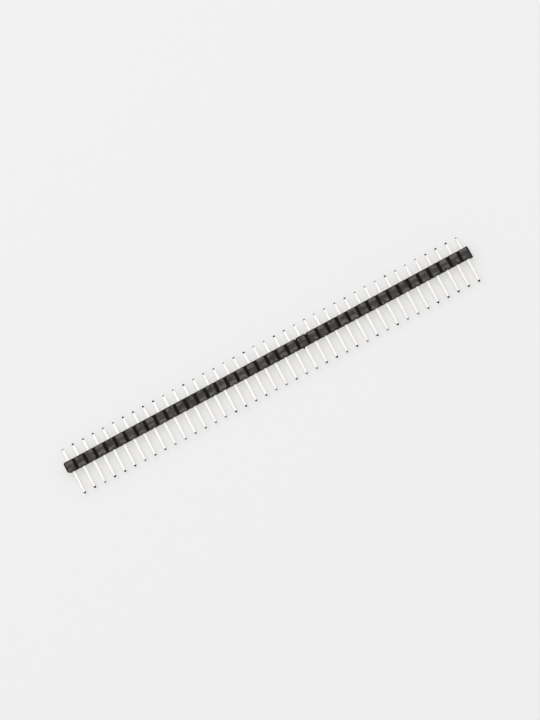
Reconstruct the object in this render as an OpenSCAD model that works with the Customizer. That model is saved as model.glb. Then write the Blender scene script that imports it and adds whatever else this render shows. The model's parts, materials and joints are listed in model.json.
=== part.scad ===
// Straight pin header strip: one moulded housing that snaps apart at its notches,
// with a row of square pins pressed through it.
// The strip lies on the side face of its housing. X runs along the row, +Y is the
// side of the short solder tails, -Y the side of the long posts, and Z is up.
// The origin is under the middle of the row and of the pins' length.
// Lengths are in millimetres.

/* [Row] */
// Number of pins
pin_count = 40; // [2:1:40]
// Distance from one pin to the next
pitch = 2.54; // [2.2:0.02:3.2]

/* [Pins] */
// Side of the square wire
pin_side = 0.64; // [0.5:0.01:0.8]
// Length of a solder tail outside the housing
tail_len = 3.0; // [1.5:0.1:6]
// Length of a contact post outside the housing
post_len = 5.6; // [3:0.1:15]
// Radius of the wire's long edges
wire_r = 0.06; // [0.02:0.01:0.1]
// Length of the swaged point at each end of a pin
tip_len = 0.4; // [0.2:0.05:0.8]
// Side of the flat that is left at the end of the point
tip_flat = 0.26; // [0.1:0.02:0.4]
// How far the two coined barbs stand out of the wire
barb_out = 0.06; // [0.02:0.01:0.12]
// Length of the barbs along the pin
barb_len = 0.9; // [0.4:0.1:1.4]
// Most that a pin is pressed further in or less far than the row's mean
seat_scatter = 0.06; // [0:0.01:0.12]

/* [Housing] */
// Height of the housing along the pins
body_h = 2.54; // [2:0.02:4]
// Width of the housing across the row
body_w = 2.54; // [2:0.02:4]
// Width of a break notch at the side face
notch_w = 0.64; // [0.3:0.02:1]
// Depth of a break notch
notch_d = 0.5; // [0.2:0.05:0.7]
// Width of the flat at the bottom of a break notch
notch_land = 0.08; // [0.02:0.02:0.2]
// Side of a bore's lead-in at the housing's face
mouth_w = 1.02; // [0.9:0.02:1.2]
// Depth of a bore's lead-in
mouth_d = 0.22; // [0.1:0.02:0.4]

/* [Fits] */
// Clearance between the wire and its bore, on each side
bore_gap = 0.01; // [0.005:0.005:0.03]
// Clearance round the barbs where the plastic has closed on them
barb_gap = 0.005; // [0.002:0.001:0.02]

/* [Ends] */
// Length along the row of the cut corner at the first pin's post side
corner_x = 0.42; // [0.2:0.02:0.7]
// Length along the pins of the same cut corner
corner_y = 0.3; // [0.2:0.02:0.8]
// Radius of the corner at the first pin's tail side
corner_r = 0.4; // [0.2:0.05:0.7]
// How far the torn web stands out past the last pin's cell
tear_out = 0.06; // [0.04:0.02:0.2]
// How far the torn web hangs out of the housing's post face
tear_drop = 0.16; // [0.06:0.02:0.3]
// Length along the row of the part that hangs out
tear_len = 0.6; // [0.3:0.05:0.7]

/* [Wear] */
// Cells after which the web has a nick in its tail side
nick_after = [23, 24];
// Width of a nick
nick_w = 0.4; // [0.2:0.05:0.6]
// Depth of a nick
nick_d = 0.24; // [0.1:0.02:0.5]
// Pin that has a flake of flash over its post's root
flake_pin = 24; // [1:1:40]
// Length of the flake out of the housing's post face
flake_len = 0.42; // [0.2:0.02:0.6]
// How far the flake reaches from the pin's axis to the first pin's side
flake_left = 0.57; // [0.36:0.01:0.6]
// How far the flake reaches from the pin's axis to the last pin's side
flake_right = 0.19; // [0.05:0.01:0.36]
// Width of the flake at its free end
flake_end = 0.16; // [0.06:0.02:0.3]
// Height of the flake's root on the face above the lead-in
flake_root = 0.14; // [0.06:0.02:0.3]
// Clearance between the flake and the pin under it
flake_gap = 0.03; // [0.01:0.01:0.1]

/* [Hidden] */
row_len = pin_count * pitch;
// The pins' middle is at Y = 0, so the housing sits towards the tails
body_y = (post_len - tail_len) / 2;
// The pins' axis is half the housing's width above the surface that it lies on
axis_z = body_w / 2;
tail_face = body_h / 2;
post_face = -body_h / 2;
tail_end = tail_face + tail_len;
post_end = post_face - post_len;
bore_side = pin_side + 2 * bore_gap;
web_w = body_w - 2 * notch_d;
// Cutting tools run this far past the faces that they cut
over = 0.2;
$fn = 48;

function pin_x(i) = (i - (pin_count - 1) / 2) * pitch;
function pin_name(i) = str("pin_", i < 9 ? "0" : "", i + 1);
// Two waves out of step with the pitch, so that neighbours differ
function seat_shift(i) = seat_scatter * (0.6 * sin(i * 137) + 0.4 * sin(i * 61 + 30));
function mirrored(side) = [for (k = [len(side) - 1 : -1 : 0]) [-side[k][0], side[k][1]]];

// Lays a YZ outline along X
module along_x(length) {
    rotate([90, 0, 90]) linear_extrude(height = length, center = true) children();
}

// Swaps an outline's two directions
module turned() {
    mirror([1, -1]) children();
}

// Lays an XZ outline along Y
module along_y(length) {
    rotate([90, 0, 0]) linear_extrude(height = length, center = true) children();
}

// ---- Pins ----

// One edge of the wire from its post end to its tail end, seen square to a face
function wire_edge() =
    let (half = pin_side / 2, point = tip_flat / 2)
    [
        [point, post_end], [half, post_end + tip_len],
        [half, tail_end - tip_len], [point, tail_end]
    ];

module wire_outline() {
    polygon(concat(wire_edge(), mirrored(wire_edge())));
}

// Square section with rounded corners, all along Y
module wire_section() {
    length = tail_end - post_end;
    inner = pin_side / 2 - wire_r;
    along_y(2 * length) square([pin_side, 2 * inner], center = true);
    along_y(2 * length) square([2 * inner, pin_side], center = true);
    for (x = [-inner, inner], z = [-inner, inner])
        translate([x, 0, z]) rotate([90, 0, 0])
            cylinder(r = wire_r, h = 2 * length, center = true);
}

// Both barbs rise towards the tails and end in a shoulder, so a pin slides in post first
module barbs(gap) {
    root = pin_side / 2 - wire_r;
    crest = pin_side / 2 + barb_out + gap;
    edge = [
        [root, -barb_len / 2 - gap],
        [pin_side / 2 + gap, -barb_len / 2 - gap],
        [crest, barb_len / 2 - barb_out],
        [crest, barb_len / 2 + gap],
        [root, barb_len / 2 + gap]
    ];
    for (side = [0, 1])
        mirror([side, 0, 0])
            linear_extrude(height = 2 * root + 2 * gap, center = true) polygon(edge);
}

// The outlines seen from two sides and the section cross to give the wire and its points
module pin(i) {
    color([0.86, 0.85, 0.82])
        translate([pin_x(i), body_y + seat_shift(i), axis_z])
            union() {
                intersection() {
                    linear_extrude(height = pin_side, center = true) wire_outline();
                    along_x(pin_side) turned() wire_outline();
                    wire_section();
                }
                barbs(0);
            }
}

// ---- Housing ----

// The way of one pin: a square bore, and pockets where it has closed on the barbs
module bore() {
    cube([bore_side, body_h + 2 * over, bore_side], center = true);
    barbs(barb_gap);
}

// Square lead-in, widening towards +Y from the bore to past the face at Y = 0
module lead_in() {
    slope = (mouth_w - bore_side) / 2 / mouth_d;
    near = bore_side / 2;
    far = mouth_w / 2 + slope * over;
    edge = [[near, -mouth_d], [far, over]];
    outline = concat(edge, mirrored(edge));
    intersection() {
        linear_extrude(height = 2 * far, center = true) polygon(outline);
        along_x(2 * far) turned() polygon(outline);
    }
}

// Notched outline of the row: eight-sided cells joined by thin webs
function side_edge() = [
    for (k = [0 : pin_count])
        let (
            x = k * pitch - row_len / 2,
            half = notch_w / 2,
            land = notch_land / 2,
            deep = web_w / 2,
            out = body_w / 2
        )
        each concat(
            k == 0 ? [[x, deep]] : [[x - half, out], [x - land, deep]],
            k == pin_count ? [[x, deep]] : [[x + land, deep], [x + half, out]]
        )
];

module cell_row() {
    upper = side_edge();
    lower = [for (k = [len(upper) - 1 : -1 : 0]) [upper[k][0], -upper[k][1]]];
    along_y(body_h) polygon(concat(upper, lower));
}

// What was taken off the first cell's two corners
module first_cell_corners() {
    x = -row_len / 2;
    run = over * corner_x / corner_y;
    rise = over * corner_y / corner_x;
    linear_extrude(height = body_w + 2 * over, center = true)
        polygon([
            [x - over, post_face - over],
            [x + corner_x + run, post_face - over],
            [x - over, post_face + corner_y + rise]
        ]);
    translate([x + corner_r, tail_face - corner_r, 0])
        difference() {
            translate([-corner_r - over, 0, -body_w / 2 - over])
                cube([corner_r + over, corner_r + over, body_w + 2 * over]);
            cylinder(r = corner_r, h = body_w + 4 * over, center = true);
        }
}

// Torn web left on the last cell where the next strip was snapped off
module torn_web() {
    x = row_len / 2;
    linear_extrude(height = web_w, center = true)
        polygon([
            [x - notch_w / 2, tail_face - nick_d],
            [x, tail_face],
            [x + tear_out, post_face - tear_drop],
            [x + tear_out - tear_len, post_face - tear_drop],
            [x - tear_len, post_face],
            [x - tear_len, post_face + nick_d]
        ]);
}

// Crack that has opened in the tail side of the web after a cell
module nick(cell) {
    x = cell * pitch - row_len / 2;
    slope = nick_w / 2 / nick_d;
    half = slope * (nick_d + over);
    translate([x, 0, 0])
        linear_extrude(height = body_w + 2 * over, center = true)
            polygon([[0, tail_face - nick_d], [half, tail_face + over], [-half, tail_face + over]]);
}

// Flake of flash that lies over one side of a post's root
module flake() {
    bottom = pin_side / 2 + flake_gap;
    translate([pin_x(flake_pin - 1), post_face, bottom])
        linear_extrude(height = mouth_w / 2 + flake_root - bottom)
            polygon([
                [-flake_left, over],
                [flake_right, over],
                [flake_right, 0],
                [flake_end - flake_left, -flake_len],
                [-flake_left, -flake_len]
            ]);
}

// Everything that is taken out of the row of cells
module openings() {
    for (i = [0 : pin_count - 1]) {
        translate([pin_x(i), seat_shift(i), 0]) bore();
        translate([pin_x(i), tail_face, 0]) lead_in();
        translate([pin_x(i), post_face, 0]) mirror([0, 1, 0]) lead_in();
    }
    first_cell_corners();
    for (cell = nick_after) if (cell < pin_count) nick(cell);
}

module housing() {
    color([0.2, 0.19, 0.18])
        translate([0, body_y, axis_z])
            union() {
                difference() {
                    union() {
                        cell_row();
                        torn_web();
                    }
                    openings();
                }
                if (flake_pin <= pin_count) flake();
            }
}

housing();
for (i = [0 : pin_count - 1]) pin(i);
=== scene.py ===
"""Straight pin header strip: a moulded housing with break notches and a row of tin-plated pins."""
import json
import math
import random

import bmesh
import bpy
from bpy.props import FloatProperty, FloatVectorProperty, PointerProperty
from mathutils import Matrix, Vector


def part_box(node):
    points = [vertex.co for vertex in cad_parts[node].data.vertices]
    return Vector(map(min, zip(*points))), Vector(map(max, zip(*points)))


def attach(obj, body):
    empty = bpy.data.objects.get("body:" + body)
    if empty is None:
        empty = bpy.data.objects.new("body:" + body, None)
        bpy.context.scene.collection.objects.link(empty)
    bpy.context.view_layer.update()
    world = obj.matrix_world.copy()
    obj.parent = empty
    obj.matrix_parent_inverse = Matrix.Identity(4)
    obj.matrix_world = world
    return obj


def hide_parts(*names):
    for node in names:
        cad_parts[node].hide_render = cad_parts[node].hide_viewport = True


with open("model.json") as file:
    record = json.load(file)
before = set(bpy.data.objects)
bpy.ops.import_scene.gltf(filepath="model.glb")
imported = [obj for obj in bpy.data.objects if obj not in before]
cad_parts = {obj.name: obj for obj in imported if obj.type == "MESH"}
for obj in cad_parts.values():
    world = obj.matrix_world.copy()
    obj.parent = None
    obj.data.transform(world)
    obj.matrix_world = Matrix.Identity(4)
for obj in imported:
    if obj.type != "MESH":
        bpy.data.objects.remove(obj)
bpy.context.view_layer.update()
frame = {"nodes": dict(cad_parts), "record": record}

bl_info = {
    "name": "Pin header strip",
    "version": (1, 0, 0),
    "blender": (4, 5, 0),
    "location": "3D View > Sidebar > Pin header",
    "description": "Finishes the housing and pins of a pin header strip and sets up a plain studio",
    "category": "Object",
}

MM = 0.001
BODY = "root"
PIN_NAMES = sorted(name for name in frame["nodes"] if name.startswith("pin_"))
MOUNTS = {mount["name"]: Vector(mount["pos_m"]) / MM for mount in frame["record"]["mounts"]}


def pin_centre(name):
    """The place of a pin along the row, in millimetres."""
    low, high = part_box(name)
    return (low.x + high.x) / 2 / MM


# The row's own sizes in millimetres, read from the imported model. X runs along the row, the tails
# point to +Y and the posts to -Y, and the strip lies on a side face of its housing.
TAIL_FACE = MOUNTS["board_seat"].y
POST_FACE = MOUNTS["mating_face"].y
AXIS = MOUNTS["board_seat"].z
HALF_WIDTH = AXIS
FIRST_PIN = pin_centre(PIN_NAMES[0])
PITCH = pin_centre(PIN_NAMES[1]) - FIRST_PIN
ROW_HALF = PITCH * len(PIN_NAMES) / 2

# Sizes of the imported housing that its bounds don't give, in millimetres
# From a pin's axis to the edge of its lead-in, and to the crests of its cell
MOUTH_HALF = 0.51
CREST = 0.95
# Length of the last cell's end that has the torn web
TORN_LENGTH = 0.7
# Cells after which the web has a nick in its tail side
NICKED_AFTER = (23, 24)
# Points nearer than this count as touching
SLACK = 0.001


# ---------------------------------------------------------------- settings

def length(name, description, default, soft_max=0.01):
    """A size in metres that shows with its unit."""
    return FloatProperty(
        name=name, description=description, default=default,
        min=0, soft_max=soft_max, precision=6, subtype="DISTANCE", unit="LENGTH",
    )


def angle(name, description, default):
    """An angle that is given in degrees."""
    return FloatProperty(
        name=name, description=description, default=math.radians(default),
        subtype="ANGLE", unit="ROTATION",
    )


def share(name, description, default):
    """A plain factor from 0 to 1."""
    return FloatProperty(
        name=name, description=description, default=default, min=0, max=1, subtype="FACTOR",
    )


def colour(name, description, default):
    """A colour in linear values."""
    return FloatVectorProperty(
        name=name, description=description, default=default, size=3, min=0, max=1, subtype="COLOR",
    )


class HousingSettings(bpy.types.PropertyGroup):
    """Sizes and colours of the moulded housing."""

    crest_radius: length("Crest radius", "Rounding where a side face meets a notch", 0.08 * MM)
    rim_radius: length("Rim radius", "Rounding of the side faces' rims", 0.07 * MM)
    fine_radius: length("Fine radius", "Rounding of the lead-ins and small edges", 0.02 * MM)
    sink: length("Sink", "Depth of the sink in each side face", 0.03 * MM)
    grain: length("Grain", "Height of the moulded grain", 0.01 * MM)
    plastic: colour("Plastic", "Colour of the black plastic", (0.0185, 0.016, 0.0138))
    # Colour of the painted highlights: pale bands on the side faces that stand in for reflected
    # light
    painted_highlight: colour("Rubbed", "Colour of rubbed or strained plastic", (0.115, 0.104, 0.094))
    whitened: colour("Whitened", "Colour of plastic that is cracked or torn", (0.17, 0.165, 0.155))
    roughness: share("Roughness", "Roughness of the moulded skin", 0.42)
    notch_roughness: share("Notch roughness", "How much rougher the break notches are", 0.4)
    end_roughness: share("End roughness", "How much rougher the faces with the bores are", 0.5)


class PinSettings(bpy.types.PropertyGroup):
    """Sizes and colours of the pins."""

    edge_radius: length("Edge radius", "Rounding of the swaged points' edges", 0.02 * MM)
    streak: length("Streak", "Height of the streaks from drawing the wire", 0.006 * MM)
    tin: colour("Tin", "Colour of the tin plate", (0.92, 0.885, 0.86))
    # Colour of the painted dark reflection on the swaged points' facets
    swaged: colour("Swaged", "Colour of the plate on the swaged points", (0.25, 0.245, 0.24))
    brass: colour("Brass", "Colour of the bare wire at its cut ends", (0.33, 0.25, 0.14))
    roughness: share("Roughness", "Roughness of the tin plate", 0.27)
    point_roughness: share("Point roughness", "How much rougher the swaged points are", 0.14)


class StageSettings(bpy.types.PropertyGroup):
    """Floor, light and camera."""

    floor: colour("Floor", "Colour of the floor", (0.862, 0.862, 0.862))
    paper: colour("Paper", "Colour of the floor where it takes no shadow", (0.937, 0.938, 0.944))
    floor_fill: share("Floor fill", "Share of the floor's look that takes no shadow", 0.55)
    walls: share("Walls", "Light from the walls past the row's ends", 0.74)
    ceiling: share("Ceiling", "Light that the ceiling has more than the walls", 0.45)
    sidelight: share("Sidelight", "Light that the tails' wall gains and the posts' loses", 0.24)
    dimming: share("Dimming", "Light that both walls along the row lose", 0.36)
    lamp: FloatProperty(
        name="Lamp", description="Power of the softbox", default=0.8, min=0,
        subtype="POWER", unit="POWER",
    )
    lamp_distance: length("Lamp distance", "From the softbox to the housing", 0.6, 2)
    lens: FloatProperty(
        name="Lens", description="Focal length in millimetres", default=90.215, min=10,
        subtype="DISTANCE_CAMERA",
    )
    distance: length("Distance", "From the camera to the housing", 0.4, 2)
    across: length("Across", "How far the housing's middle lies left of the view's", 0.588 * MM)
    below: length("Below", "How far the housing's middle lies below the view's", 0.108 * MM)
    tilt: angle("Tilt", "Lean of the view towards the posts", 5.5)
    lean: angle("Lean", "Lean of the view towards the last pin", 1.32)
    turn: angle("Turn", "Turn of the row in the view", 28.304)


# ---------------------------------------------------------------- shader building

class Shading:
    """Adds nodes to one tree. Wherever a value is asked for, a socket may be given instead."""

    def __init__(self, tree):
        self.tree = tree
        tree.nodes.clear()

    def feed(self, target, value):
        """Links an input to a socket, or gives it a value of its own."""
        if isinstance(value, bpy.types.NodeSocket):
            self.tree.links.new(value, target)
        else:
            target.default_value = value

    def add(self, kind, inputs=None, **properties):
        """A node with its properties set and its inputs fed."""
        node = self.tree.nodes.new(kind)
        for key, value in properties.items():
            setattr(node, key, value)
        for key, value in (inputs or {}).items():
            self.feed(node.inputs[key], value)
        return node

    def group(self, tree, inputs):
        """A copy of a node group with its own values."""
        return self.add("ShaderNodeGroup", inputs, node_tree=tree)

    def math(self, operation, first, second=0.0, clamp=False):
        """The result of one sum on two values."""
        inputs = {0: first, 1: second}
        node = self.add("ShaderNodeMath", inputs, operation=operation, use_clamp=clamp)
        return node.outputs[0]

    def plus(self, first, second, clamp=False):
        """One value added to another."""
        return self.math("ADD", first, second, clamp)

    def minus(self, first, second):
        """One value less another."""
        return self.math("SUBTRACT", first, second)

    def times(self, first, second, clamp=False):
        """One value times another."""
        return self.math("MULTIPLY", first, second, clamp)

    def larger(self, first, second):
        """The larger of two values."""
        return self.math("MAXIMUM", first, second)

    def size(self, value):
        """A value without its sign."""
        return self.math("ABSOLUTE", value)

    def ramp(self, value, low, high, to_low=0.0, to_high=1.0):
        """A value taken smoothly from one range to another."""
        inputs = {
            "Value": value, "From Min": low, "From Max": high, "To Min": to_low, "To Max": to_high,
        }
        return self.add("ShaderNodeMapRange", inputs, interpolation_type="SMOOTHSTEP").outputs[0]

    def pick(self, lot, low, high):
        """A value between two limits, as a lot from 0 to 1 says."""
        return self.ramp(lot, 0.0, 1.0, low, high)

    def hump(self, value, middle, spread):
        """1 where a value is at the middle, falling smoothly to 0 at the spread on either side."""
        return self.ramp(self.size(self.minus(value, middle)), 0.0, spread, 1.0, 0.0)

    def mix(self, factor, first, second):
        """One colour mixed into another."""
        node = self.add("ShaderNodeMix", {0: factor}, data_type="RGBA")
        for target, value in ((node.inputs[6], first), (node.inputs[7], second)):
            self.feed(target, value if isinstance(value, bpy.types.NodeSocket) else (*value, 1))
        return node.outputs[2]

    def noise(self, place, scale, detail=2.0, roughness=0.5):
        """Noise around one half."""
        inputs = {"Vector": place, "Scale": scale, "Detail": detail, "Roughness": roughness}
        return self.add("ShaderNodeTexNoise", inputs, noise_dimensions="3D").outputs[0]

    def lots(self, number):
        """A lot from 0 to 1 that a whole number draws, and three more as a colour."""
        return self.add("ShaderNodeTexWhiteNoise", {"W": number}, noise_dimensions="1D").outputs

    def stretched(self, place, scales):
        """A place with each of its directions scaled."""
        node = self.add("ShaderNodeVectorMath", {0: place, 1: scales}, operation="MULTIPLY")
        return node.outputs[0]

    def split(self, vector):
        """The three numbers of a place or normal."""
        return self.add("ShaderNodeSeparateXYZ", {0: vector}).outputs


class Finish(Shading):
    """A new material with its shader, and the surface's place in millimetres and its normal."""

    def __init__(self, name):
        self.material = bpy.data.materials.new(name)
        self.material.use_nodes = True
        super().__init__(self.material.node_tree)
        coordinates = self.add("ShaderNodeTexCoord").outputs
        self.place = self.stretched(coordinates["Object"], (1 / MM,) * 3)
        self.normal = coordinates["Normal"]
        self.surface = self.add("ShaderNodeBsdfPrincipled")
        self.add("ShaderNodeOutputMaterial", {"Surface": self.surface.outputs[0]})

    def set(self, name, value):
        """Feeds one of the shader's inputs."""
        self.feed(self.surface.inputs[name], value)

    def bump(self, height, strength, distance):
        """Lets a height stand out of the surface."""
        inputs = {"Height": height, "Strength": strength, "Distance": distance}
        self.set("Normal", self.add("ShaderNodeBump", inputs).outputs[0])


def shaded(colour_value, factor):
    """A colour made darker or paler."""
    return tuple(Vector(colour_value) * factor)


def effect(name, inputs, outputs):
    """A new shader group, its Shading, its input node and a function that fills its outputs."""
    tree = bpy.data.node_groups.new(name, "ShaderNodeTree")
    for label, kind, value in inputs:
        socket = tree.interface.new_socket(name=label, in_out="INPUT", socket_type=kind)
        if value is not None:
            socket.default_value = value
    for label, kind in outputs:
        tree.interface.new_socket(name=label, in_out="OUTPUT", socket_type=kind)
    shading = Shading(tree)
    source = shading.add("NodeGroupInput")
    target = shading.add("NodeGroupOutput")

    def fill(**sockets):
        for label, socket in sockets.items():
            tree.links.new(socket, target.inputs[label])
        return tree

    return shading, source.outputs, fill


def grain_effect():
    """Fine grain with longer streaks, as a height and a mask."""
    shading, given, fill = effect(
        "Grain",
        [("Place", "NodeSocketVector", None), ("Fine", "NodeSocketFloat", 20.0),
         ("Streak", "NodeSocketVector", (1.0, 1.0, 1.0)), ("Streak share", "NodeSocketFloat", 0.5)],
        [("Height", "NodeSocketFloat"), ("Mask", "NodeSocketFloat")],
    )
    fine = shading.noise(given["Place"], given["Fine"], detail=3, roughness=0.6)
    along = shading.stretched(given["Place"], given["Streak"])
    streak = shading.noise(along, 1.0, detail=3, roughness=0.55)
    inputs = {0: given["Streak share"], 2: fine, 3: streak}
    blend = shading.add("ShaderNodeMix", inputs, data_type="FLOAT").outputs[0]
    return fill(Height=blend, Mask=shading.ramp(blend, 0.35, 0.65))


def specks_effect():
    """Sparse specks of dust or scratches, as a mask."""
    shading, given, fill = effect(
        "Specks",
        [("Place", "NodeSocketVector", None), ("Scale", "NodeSocketFloat", 5.0),
         ("Size", "NodeSocketFloat", 0.1), ("Share", "NodeSocketFloat", 0.2)],
        [("Mask", "NodeSocketFloat")],
    )
    cells = shading.add("ShaderNodeTexVoronoi", {"Vector": given["Place"], "Scale": given["Scale"]})
    near = shading.math("LESS_THAN", cells.outputs["Distance"], given["Size"])
    tone = shading.add("ShaderNodeSeparateColor", {"Color": cells.outputs["Color"]}).outputs[0]
    chosen = shading.math("LESS_THAN", tone, given["Share"])
    return fill(Mask=shading.times(near, chosen))


def shared(name):
    """A node group that several materials use, built once."""
    makers = {"Grain": grain_effect, "Specks": specks_effect}
    return bpy.data.node_groups.get(name) or makers[name]()


# ---------------------------------------------------------------- plastic

# Painted shade: deeper than the skin, in the notches and on the end faces, the plastic is painted
# much darker
# Depth under a side face at which its skin has ended, and the depth down to which it is whole
SKIN_ENDS = 0.22
SKIN_WHOLE = 0.08
# How far from a cell's crests its skin begins to end
CREST_FADE = 0.22
# Painted highlight rings over the posts' roots: least and largest radius, and width either way
RING_RADII = (0.42, 0.76)
RING_SPREAD = 0.42
# Share of a distance along the row that counts towards the radius, as rings are longer that way
RING_ALONG_ROW = 0.62
# Painted highlight strips along the row: least and largest distance from the tails' face, and width
# either way
STRIP_PLACES = (0.2, 0.7)
STRIP_SPREAD = 0.55
# Painted highlight borders inside the crests: distance from the crests, and width either way
BORDER_SPREAD = 0.24


def moulded_plastic(settings):
    """Black glass-filled plastic, paler where it is torn, with painted highlights on its side faces
    and painted shade in its notches.
    """
    finish = Finish("moulded_plastic")
    place = finish.place
    flow = finish.group(shared("Grain"), {
        "Place": place, "Fine": 14.0, "Streak": (2.0, 9.0, 9.0), "Streak share": 0.4,
    }).outputs
    # Grain that breaks the painted highlight bands into patches
    highlight_patches = finish.group(shared("Grain"), {
        "Place": place, "Fine": 8.0, "Streak": (3.0, 16.0, 16.0), "Streak share": 0.55,
    }).outputs
    dust = finish.group(shared("Specks"), {
        "Place": place, "Scale": 3.2, "Size": 0.1, "Share": 0.16,
    }).outputs
    skin, bands, tone = side_face_masks(finish, place)

    # Painted shade: the notches and all plastic deeper than the side faces' skin, the end faces
    # included, take this much darker colour
    notch_shade = shaded(settings.plastic, 0.05)
    darkest = shaded(settings.plastic, 0.1)
    palest = shaded(settings.plastic, 2.6)
    plain = finish.mix(skin, notch_shade, finish.mix(tone, darkest, palest))
    grained = finish.mix(finish.times(flow["Mask"], 0.3), plain, palest)
    # Painted highlights: pale bands on the side faces that stand in for reflected light, in patches
    highlight_amount = finish.times(bands, finish.ramp(highlight_patches["Height"], 0.36, 0.64, 0.35, 1.65), clamp=True)
    banded = finish.mix(highlight_amount, grained, settings.painted_highlight)
    dusty = finish.mix(finish.times(dust["Mask"], 0.5), banded, settings.whitened)
    finish.set("Base Color", finish.mix(torn_mask(finish, place), dusty, settings.whitened))

    smooth = settings.roughness - 0.07
    rough = settings.roughness + 0.1
    uneven = finish.ramp(flow["Height"], 0.3, 0.7, smooth, rough)
    in_notch = finish.ramp(skin, 0.0, 1.0, settings.notch_roughness, 0.0)
    endwise = finish.size(finish.split(finish.normal)[1])
    on_end = finish.ramp(endwise, 0.8, 0.95, 0.0, settings.end_roughness)
    finish.set("Roughness", finish.plus(finish.plus(uneven, in_notch), on_end, clamp=True))
    finish.bump(flow["Height"], 0.35, settings.grain)
    finish.set("IOR", 1.42)
    return finish.material


def across_cell(shading, x):
    """The number of the cell that a place is in, and how far along it is from that cell's pin."""
    cells = shading.math("DIVIDE", shading.plus(x, ROW_HALF), PITCH)
    within = shading.math("FRACT", cells)
    return shading.math("FLOOR", cells), shading.times(shading.minus(within, 0.5), PITCH)


def side_face_masks(shading, place):
    """Masks of the cells' outer skin, outside which shade is painted, and of the painted highlight
    bands on it, and a tone that varies by cell.
    """
    x, y, z = shading.split(place)
    cell, from_pin = across_cell(shading, x)
    aside = shading.size(from_pin)
    from_axis = shading.size(shading.minus(z, AXIS))
    outer = shading.ramp(from_axis, HALF_WIDTH - SKIN_ENDS, HALF_WIDTH - SKIN_WHOLE)
    skin = shading.times(outer, shading.ramp(aside, CREST - CREST_FADE, CREST, 1.0, 0.0))
    lots = shading.add("ShaderNodeSeparateColor", {0: shading.lots(cell)["Color"]}).outputs
    cloud = shading.ramp(shading.noise(place, 1.1, detail=1), 0.34, 0.66)
    tone = shading.times(shading.plus(lots[0], cloud), 0.5)
    ring = ring_highlight(shading, from_pin, y, lots)
    strip = strip_highlight(shading, y, lots)
    marks = shading.larger(shading.larger(ring, strip), border_highlight(shading, aside, lots))
    patches = shading.ramp(shading.noise(place, 0.9, detail=1), 0.34, 0.64, 0.0, 1.6)
    bands = shading.times(shading.times(marks, skin), patches, clamp=True)
    return skin, bands, tone


def ring_highlight(shading, from_pin, y, lots):
    """A painted highlight ring over the root of each post."""
    inputs = {0: shading.times(from_pin, RING_ALONG_ROW), 1: shading.minus(y, POST_FACE)}
    spot = shading.add("ShaderNodeCombineXYZ", inputs).outputs[0]
    reach = shading.add("ShaderNodeVectorMath", {0: spot}, operation="LENGTH").outputs["Value"]
    ring = shading.hump(reach, shading.pick(lots[2], *RING_RADII), RING_SPREAD)
    return shading.times(ring, shading.pick(lots[1], 0.3, 1.9))


def strip_highlight(shading, y, lots):
    """A painted highlight strip near the tails' face."""
    nearest, furthest = STRIP_PLACES
    middle = shading.pick(lots[1], TAIL_FACE - furthest, TAIL_FACE - nearest)
    return shading.times(shading.hump(y, middle, STRIP_SPREAD), shading.pick(lots[2], 0.6, 1.9))


def border_highlight(shading, aside, lots):
    """A painted highlight border beside the notches of every other cell or so."""
    border = shading.hump(aside, CREST - BORDER_SPREAD, BORDER_SPREAD)
    return shading.times(border, shading.ramp(lots[1], 0.5, 1.0, 0.0, 0.6))


def torn_mask(shading, place):
    """Where the webs have cracked or torn: the nicks and the last cell's end."""
    x, y, _ = shading.split(place)
    end = shading.ramp(x, ROW_HALF - 0.02, ROW_HALF + 0.06)
    grainy = shading.ramp(shading.noise(place, 16.0, detail=5, roughness=0.7), 0.38, 0.7)
    mask = shading.times(end, grainy)
    for cell in NICKED_AFTER:
        from_nick = shading.size(shading.minus(x, cell * PITCH - ROW_HALF))
        beside = shading.ramp(from_nick, 0.08, 0.22, 1.0, 0.0)
        within = shading.ramp(y, TAIL_FACE - 0.36, TAIL_FACE - 0.1)
        mask = shading.larger(mask, shading.times(beside, within))
    return shading.times(mask, 0.6)


# ---------------------------------------------------------------- tin

def tin_plate(settings):
    """Bright tin over drawn wire, with painted dark reflections on its rounded edges and points,
    gone at the cut ends.
    """
    finish = Finish("tin_plate")
    drawn = finish.group(shared("Grain"), {
        "Place": finish.place, "Fine": 9.0, "Streak": (26.0, 0.9, 26.0), "Streak share": 0.7,
    }).outputs
    marks = finish.group(shared("Specks"), {
        "Place": finish.place, "Scale": 2.4, "Size": 0.12, "Share": 0.22,
    }).outputs
    edge, swaged, cut, lot = wire_masks(finish, finish.place, finish.normal)

    streaks = finish.times(drawn["Mask"], 0.5)
    streaked = finish.mix(streaks, settings.tin, shaded(settings.tin, 0.88))
    marked = finish.mix(finish.times(marks["Mask"], 0.35), streaked, shaded(settings.tin, 0.6))
    # Painted reflection: the rounded long edges are darkened as if they mirrored darker
    # surroundings
    edged = finish.mix(edge, marked, shaded(settings.tin, 0.25))
    # Painted reflection: the swaged points are dark, darker or paler from one pin end to the next
    point = finish.mix(lot, shaded(settings.swaged, 1.4), shaded(settings.swaged, 0.05))
    pointed = finish.mix(swaged, edged, point)
    finish.set("Base Color", finish.mix(cut, pointed, settings.brass))

    smooth = settings.roughness - 0.06
    rough = settings.roughness + 0.08
    uneven = finish.ramp(drawn["Height"], 0.3, 0.7, smooth, rough)
    finish.set("Roughness", finish.plus(uneven, finish.times(swaged, settings.point_roughness)))
    finish.bump(drawn["Height"], 0.2, settings.streak)
    finish.set("Metallic", 1.0)
    return finish.material


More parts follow.
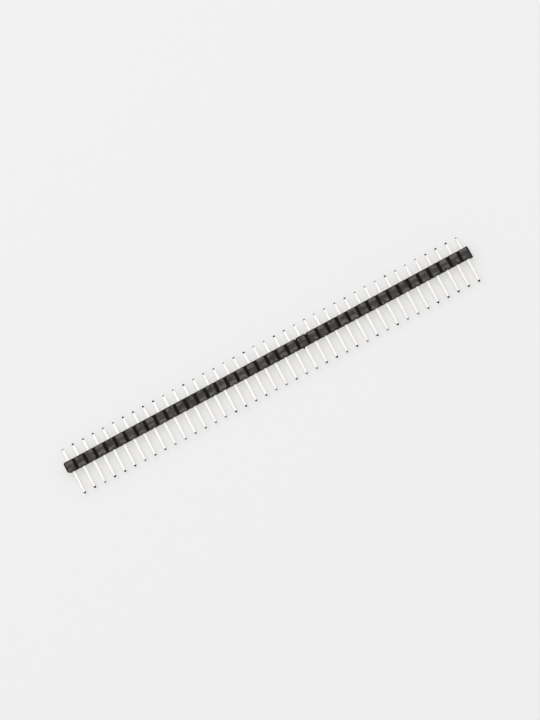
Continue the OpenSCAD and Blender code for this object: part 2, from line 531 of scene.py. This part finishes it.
def wire_masks(shading, place, normal):
    """Masks of the wire's long edges and swaged points, where dark reflections are painted, of its
    cut ends, and a lot for each pin's ends.
    """
    x, y, z = shading.split(place)
    sideways, endwise, upwards = shading.split(normal)
    endwise = shading.size(endwise)
    edge = shading.ramp(shading.size(shading.times(sideways, upwards)), 0.12, 0.36, 0.0, 0.6)
    cell, from_pin = across_cell(shading, x)
    end = shading.plus(shading.times(cell, 2.0), shading.math("GREATER_THAN", y, 0.0))
    lot = shading.pick(shading.lots(end)["Value"], 0.1, 1.1)
    # The painted dark reflection stays near the axis, and a higher lot lets it spread
    from_axis = shading.larger(shading.size(from_pin), shading.size(shading.minus(z, AXIS)))
    patch = shading.ramp(shading.minus(from_axis, shading.times(lot, 0.13)), 0.2, 0.25, 1.0, 0.0)
    swaged = shading.times(shading.ramp(endwise, 0.12, 0.36), patch)
    return edge, swaged, shading.ramp(endwise, 0.75, 0.93), lot


# ---------------------------------------------------------------- pieces

def placed(name, data):
    """A new object in the scene."""
    piece = bpy.data.objects.new(name, data)
    bpy.context.scene.collection.objects.link(piece)
    return piece


def edge_radius(edge, settings):
    """How far an edge of the housing is rounded, from where it lies and how it runs."""
    if len(edge.link_faces) != 2 or edge.calc_face_angle(0) < math.radians(12):
        return 0.0
    start, end = (vert.co for vert in edge.verts)
    along = (end - start).normalized()
    middle = (start + end) / 2
    from_axis = abs(middle.z - AXIS)
    from_face = min(abs(middle.y - TAIL_FACE), abs(middle.y - POST_FACE))
    nearest_pin = round((middle.x - FIRST_PIN) / PITCH) * PITCH + FIRST_PIN
    from_pin = abs(middle.x - nearest_pin)
    if max(from_axis, from_pin) < MOUTH_HALF + SLACK:
        # Inside a lead-in or bore: only the lead-in's rim is rounded
        return settings.fine_radius if from_face < SLACK else 0.0
    if from_axis < HALF_WIDTH - SLACK or middle.x > ROW_HALF - TORN_LENGTH:
        return settings.fine_radius
    return settings.crest_radius if abs(along.y) > 0.99 else settings.rim_radius


def refined_housing(settings):
    """The housing's own mesh with rounded edges and a sink in each side face."""
    shape = bmesh.new()
    shape.from_mesh(frame["nodes"]["housing"].data)
    bmesh.ops.scale(shape, vec=(1 / MM,) * 3, verts=shape.verts)
    bmesh.ops.remove_doubles(shape, verts=shape.verts, dist=SLACK / 2)
    bmesh.ops.dissolve_limit(
        shape, angle_limit=math.radians(0.4), verts=shape.verts, edges=shape.edges,
    )
    largest = max(settings.crest_radius, settings.rim_radius, settings.fine_radius)
    weights = shape.edges.layers.float.new("bevel_weight_edge")
    for edge in shape.edges:
        edge[weights] = edge_radius(edge, settings) / largest
    mesh = bpy.data.meshes.new("housing_moulded")
    shape.to_mesh(mesh)
    shape.free()
    piece = placed("housing_moulded", mesh)
    bevel = piece.modifiers.new("rounding", "BEVEL")
    bevel.limit_method = "WEIGHT"
    bevel.width = largest / MM
    bevel.segments = 3
    bevel.use_clamp_overlap = False
    bevel.miter_outer = "MITER_ARC"
    evaluated = piece.evaluated_get(bpy.context.evaluated_depsgraph_get())
    rounded = bpy.data.meshes.new_from_object(evaluated)
    piece.modifiers.clear()
    piece.data = rounded
    sink_faces(rounded, settings.sink / MM)
    rounded.transform(Matrix.Scale(MM, 4))
    for polygon in rounded.polygons:
        polygon.use_smooth = True
    even = piece.modifiers.new("even_normals", "WEIGHTED_NORMAL")
    even.keep_sharp = False
    even.weight = 90
    return piece


def sink_faces(mesh, sink):
    """Cuts the mesh along the row and lets each side face dip between its rims in its own way."""
    # In millimetres: from the rims to the first and last cut, how deep under a side face the dip
    # reaches, over how much of that it fades, and how far a face may tilt
    rim = 0.2
    reach = 0.16
    fade = 0.12
    tilt = 0.004
    cuts = 10
    shape = bmesh.new()
    shape.from_mesh(mesh)
    for cut in range(cuts):
        y = POST_FACE + rim + (TAIL_FACE - POST_FACE - 2 * rim) * cut / (cuts - 1)
        geometry = shape.verts[:] + shape.edges[:] + shape.faces[:]
        bmesh.ops.bisect_plane(
            shape, geom=geometry, dist=0.0001, plane_co=(0, y, 0), plane_no=(0, 1, 0),
        )
    draw = random.Random(40)
    own_ways = [(draw.uniform(-tilt, tilt), draw.uniform(-tilt, tilt), draw.uniform(0.7, 1.3))
                for _ in range(2 * len(PIN_NAMES))]
    middle = (POST_FACE + TAIL_FACE) / 2
    half = (TAIL_FACE - POST_FACE) / 2 - rim * 0.6
    for vert in shape.verts:
        inner = abs(vert.co.z - AXIS) - (HALF_WIDTH - reach)
        if inner < 0:
            continue
        cell = min(len(PIN_NAMES) - 1, max(0, int((vert.co.x + ROW_HALF) / PITCH)))
        upper = vert.co.z > AXIS
        lean, slope, depth = own_ways[2 * cell + (1 if upper else 0)]
        across = (vert.co.x - FIRST_PIN) / PITCH - cell
        along = (vert.co.y - middle) / half
        bowl = sink * depth * max(0.0, 1 - along * along) ** 2
        dip = min(1.0, inner / fade) * (bowl + tilt + lean * across + slope * along)
        vert.co.z += -dip if upper else dip
    shape.to_mesh(mesh)
    shape.free()


def finish_pin(pin, settings, material):
    """Softens a pin's edges and plates it."""
    for slot in pin.material_slots:
        slot.material = material
    weld = pin.modifiers.new("weld", "WELD")
    weld.merge_threshold = SLACK / 2 * MM
    flat = pin.modifiers.new("flat_faces", "DECIMATE")
    flat.decimate_type = "DISSOLVE"
    flat.angle_limit = math.radians(0.5)
    bevel = pin.modifiers.new("rounding", "BEVEL")
    bevel.width = settings.edge_radius
    bevel.segments = 2
    bevel.limit_method = "ANGLE"
    bevel.angle_limit = math.radians(15)
    even = pin.modifiers.new("even_normals", "WEIGHTED_NORMAL")
    even.keep_sharp = False


# ---------------------------------------------------------------- stage

def make_floor(settings):
    """A pale floor, swept up all round, that keeps the object's shadow."""
    # In metres: the flat's radius and the sweep's
    flat = 2.6
    sweep = 1.4
    climb = [math.radians(degrees) for degrees in range(0, 80, 5)]
    profile = [(flat + sweep * math.sin(turn), sweep - sweep * math.cos(turn)) for turn in climb]
    shape = bmesh.new()
    points = [shape.verts.new((out, 0, up)) for out, up in [(0.0, 0.0)] + profile]
    edges = [shape.edges.new(pair) for pair in zip(points, points[1:])]
    bmesh.ops.spin(
        shape, geom=points + edges, axis=(0, 0, 1), angle=math.tau, steps=64, use_merge=True,
    )
    bmesh.ops.remove_doubles(shape, verts=shape.verts, dist=SLACK * MM)
    for face in shape.faces:
        face.smooth = True
    mesh = bpy.data.meshes.new("floor")
    shape.to_mesh(mesh)
    shape.free()
    floor = placed("floor", mesh)
    floor.data.materials.append(floor_paint(settings))


def floor_paint(settings):
    """Matt paint that shows part of its colour whatever shadow falls on it."""
    material = bpy.data.materials.new("floor_paint")
    material.use_nodes = True
    shading = Shading(material.node_tree)
    paint = shading.add("ShaderNodeBsdfDiffuse", {"Color": (*settings.floor, 1)}).outputs[0]
    inputs = {"Color": (*settings.paper, 1), "Strength": 1.0}
    glow = shading.add("ShaderNodeEmission", inputs).outputs[0]
    ray = shading.add("ShaderNodeLightPath").outputs
    mirrored = shading.larger(ray["Is Glossy Ray"], ray["Is Transmission Ray"])
    seen = shading.larger(ray["Is Camera Ray"], mirrored)
    factor = shading.times(seen, settings.floor_fill)
    mixed = shading.add("ShaderNodeMixShader", {0: factor, 1: paint, 2: glow}).outputs[0]
    shading.add("ShaderNodeOutputMaterial", {"Surface": mixed})
    return material


def make_world(settings):
    """A bright ceiling over walls that are dimmer along the row, and dimmest on the posts' side."""
    world = bpy.data.worlds.new("studio")
    bpy.context.scene.world = world
    world.use_nodes = True
    shading = Shading(world.node_tree)
    direction = shading.add("ShaderNodeTexCoord").outputs["Generated"]
    _, tailwards, upwards = shading.split(direction)
    ceiling = shading.ramp(upwards, 0.77, 0.88, 0.0, settings.ceiling)
    gain = shading.times(tailwards, settings.sidelight)
    loss = shading.times(shading.times(tailwards, tailwards), settings.dimming)
    walls = shading.plus(gain, shading.minus(settings.walls, loss))
    light = shading.math("MINIMUM", shading.plus(ceiling, walls), 1.06)
    studio = shading.add("ShaderNodeBackground", {"Color": (1, 0.99, 0.975, 1), "Strength": light})
    shading.add("ShaderNodeOutputWorld", {"Surface": studio.outputs[0]})


def make_lamp(settings):
    """One large softbox on the tails' side."""
    data = bpy.data.lights.new("softbox", "AREA")
    data.shape = "RECTANGLE"
    data.size = 0.5
    data.size_y = 0.3
    data.energy = settings.lamp
    lamp = placed("softbox", data)
    towards = Vector((-0.12, 0.52, 0.82)).normalized()
    lamp.location = housing_centre() + towards * settings.lamp_distance
    lamp.rotation_euler = towards.to_track_quat("Z", "Y").to_euler()


def make_camera(settings):
    """Looks down on the strip, a little from the posts' side."""
    data = bpy.data.cameras.new("camera")
    data.lens = settings.lens
    data.sensor_width = 36
    data.clip_start = 0.01
    data.clip_end = 20
    camera = placed("camera", data)
    turn = Matrix.Rotation(settings.turn, 4, "Z")
    lean = Matrix.Rotation(-settings.lean, 4, "Y")
    tilt = Matrix.Rotation(-settings.tilt, 4, "X")
    view = (turn @ lean @ tilt).transposed()
    back = Matrix.Translation((settings.across, settings.below, settings.distance))
    camera.matrix_world = Matrix.Translation(housing_centre()) @ view @ back
    bpy.context.scene.camera = camera


def housing_centre():
    """The middle of the housing, in metres."""
    return Vector((0, (TAIL_FACE + POST_FACE) / 2, AXIS)) * MM


# ---------------------------------------------------------------- operators

class HEADER_OT_stage(bpy.types.Operator):
    """Set up the floor, light and camera"""

    bl_idname = "header.stage"
    bl_label = "Set up stage"

    def execute(self, context):
        settings = context.scene.header_stage
        make_floor(settings)
        make_world(settings)
        make_lamp(settings)
        make_camera(settings)
        context.scene.view_settings.view_transform = "Standard"
        return {"FINISHED"}


class HEADER_OT_housing(bpy.types.Operator):
    """Finish the moulded housing"""

    bl_idname = "header.housing"
    bl_label = "Finish housing"

    def execute(self, context):
        settings = context.scene.header_housing
        piece = refined_housing(settings)
        piece.data.materials.clear()
        piece.data.materials.append(moulded_plastic(settings))
        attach(piece, BODY)
        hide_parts("housing")
        return {"FINISHED"}


class HEADER_OT_pins(bpy.types.Operator):
    """Finish every pin of the row"""

    bl_idname = "header.pins"
    bl_label = "Finish pins"

    def execute(self, context):
        settings = context.scene.header_pins
        material = tin_plate(settings)
        for name in PIN_NAMES:
            finish_pin(frame["nodes"][name], settings, material)
        return {"FINISHED"}


class HEADER_PT_panel(bpy.types.Panel):
    """Lists the strip's steps and settings"""

    bl_idname = "HEADER_PT_panel"
    bl_label = "Pin header"
    bl_space_type = "VIEW_3D"
    bl_region_type = "UI"
    bl_category = "Pin header"

    def draw(self, context):
        parts = (
            (HEADER_OT_stage, context.scene.header_stage),
            (HEADER_OT_housing, context.scene.header_housing),
            (HEADER_OT_pins, context.scene.header_pins),
        )
        for step, settings in parts:
            box = self.layout.box()
            box.operator(step.bl_idname)
            for name in settings.__annotations__:
                box.prop(settings, name)


SETTINGS = {
    "header_stage": StageSettings,
    "header_housing": HousingSettings,
    "header_pins": PinSettings,
}
CLASSES = (*SETTINGS.values(), HEADER_OT_stage, HEADER_OT_housing, HEADER_OT_pins, HEADER_PT_panel)


def register():
    """Adds the classes and gives each scene its settings."""
    for cls in CLASSES:
        bpy.utils.register_class(cls)
    for name, cls in SETTINGS.items():
        setattr(bpy.types.Scene, name, PointerProperty(type=cls))


def unregister():
    """Takes the settings and classes away again."""
    for name in SETTINGS:
        delattr(bpy.types.Scene, name)
    for cls in reversed(CLASSES):
        bpy.utils.unregister_class(cls)


def main():
    """Finishes the whole strip."""
    register()
    bpy.ops.header.stage()
    bpy.ops.header.housing()
    bpy.ops.header.pins()


if __name__ == "__main__":
    main()
